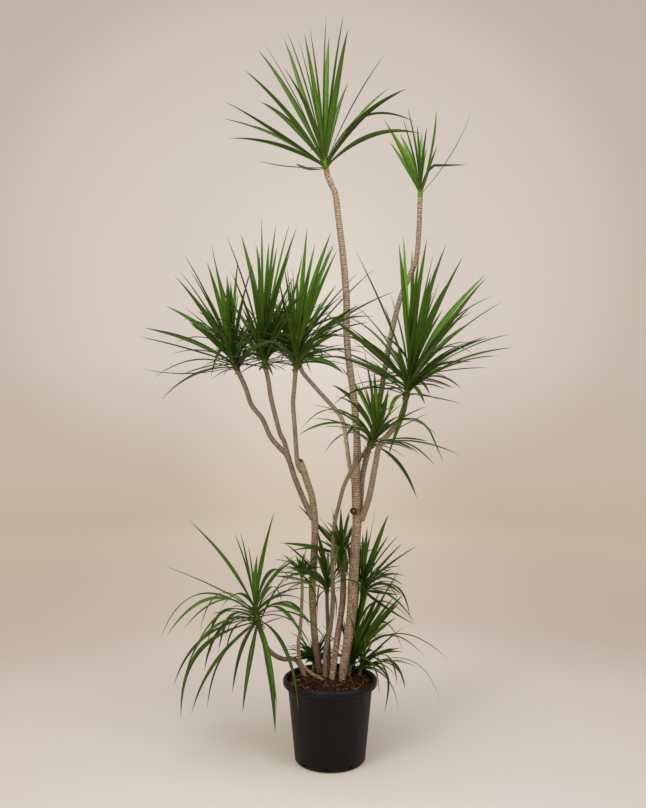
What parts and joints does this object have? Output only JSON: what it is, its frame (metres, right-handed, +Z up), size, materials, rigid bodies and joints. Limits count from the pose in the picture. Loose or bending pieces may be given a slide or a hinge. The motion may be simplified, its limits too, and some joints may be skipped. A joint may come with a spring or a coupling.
{
  "type": "potted dracaena",
  "caption": "Tall narrow-leaved dragon tree with several bare canes and spiky leaf heads, growing in a round black plastic nursery pot.",
  "frame": {"origin": "middle of the pot's underside, on the surface that it stands on", "axes": "+Z up along the canes, -Y towards the side that the picture shows, +X to the right as seen from there"},
  "size_m": [1.3166, 1.0439, 2.527],
  "materials": {
    "pot_plastic": "black moulded polypropylene, satin, a little paler and scuffed on the rim",
    "potting_bark": "loose chips of brown composted bark, matt",
    "cane_bark": "grey-tan bark with close ring scars and dark specks, matt",
    "leaf_green": "smooth tough leaf, satin, deep green with brighter young leaves"
  },
  "bodies": {
    "root": {"pot": "pot_plastic", "soil": "potting_bark", "cane_main": "cane_bark", "cane_left": "cane_bark", "cane_slim": "cane_bark", "cane_centre": "cane_bark", "cane_side": "cane_bark", "cane_low_left": "cane_bark", "shoot_back": "cane_bark", "shoot_right": "cane_bark", "shoot_rim_rising": "cane_bark", "shoot_rim_drooping": "cane_bark", "shoot_rim_left": "cane_bark", "head_crown": "leaf_green", "head_top_right": "leaf_green", "head_left_outer": "leaf_green", "head_left_middle": "leaf_green", "head_left_inner": "leaf_green", "head_left_back": "leaf_green", "head_right": "leaf_green", "head_middle": "leaf_green", "head_low_left": "leaf_green", "head_low_centre": "leaf_green", "head_low_back": "leaf_green", "head_low_side": "leaf_green", "head_low_right": "leaf_green", "head_rim_rising": "leaf_green", "head_rim_drooping": "leaf_green", "head_rim_left": "leaf_green"}
  },
  "joints": []
}
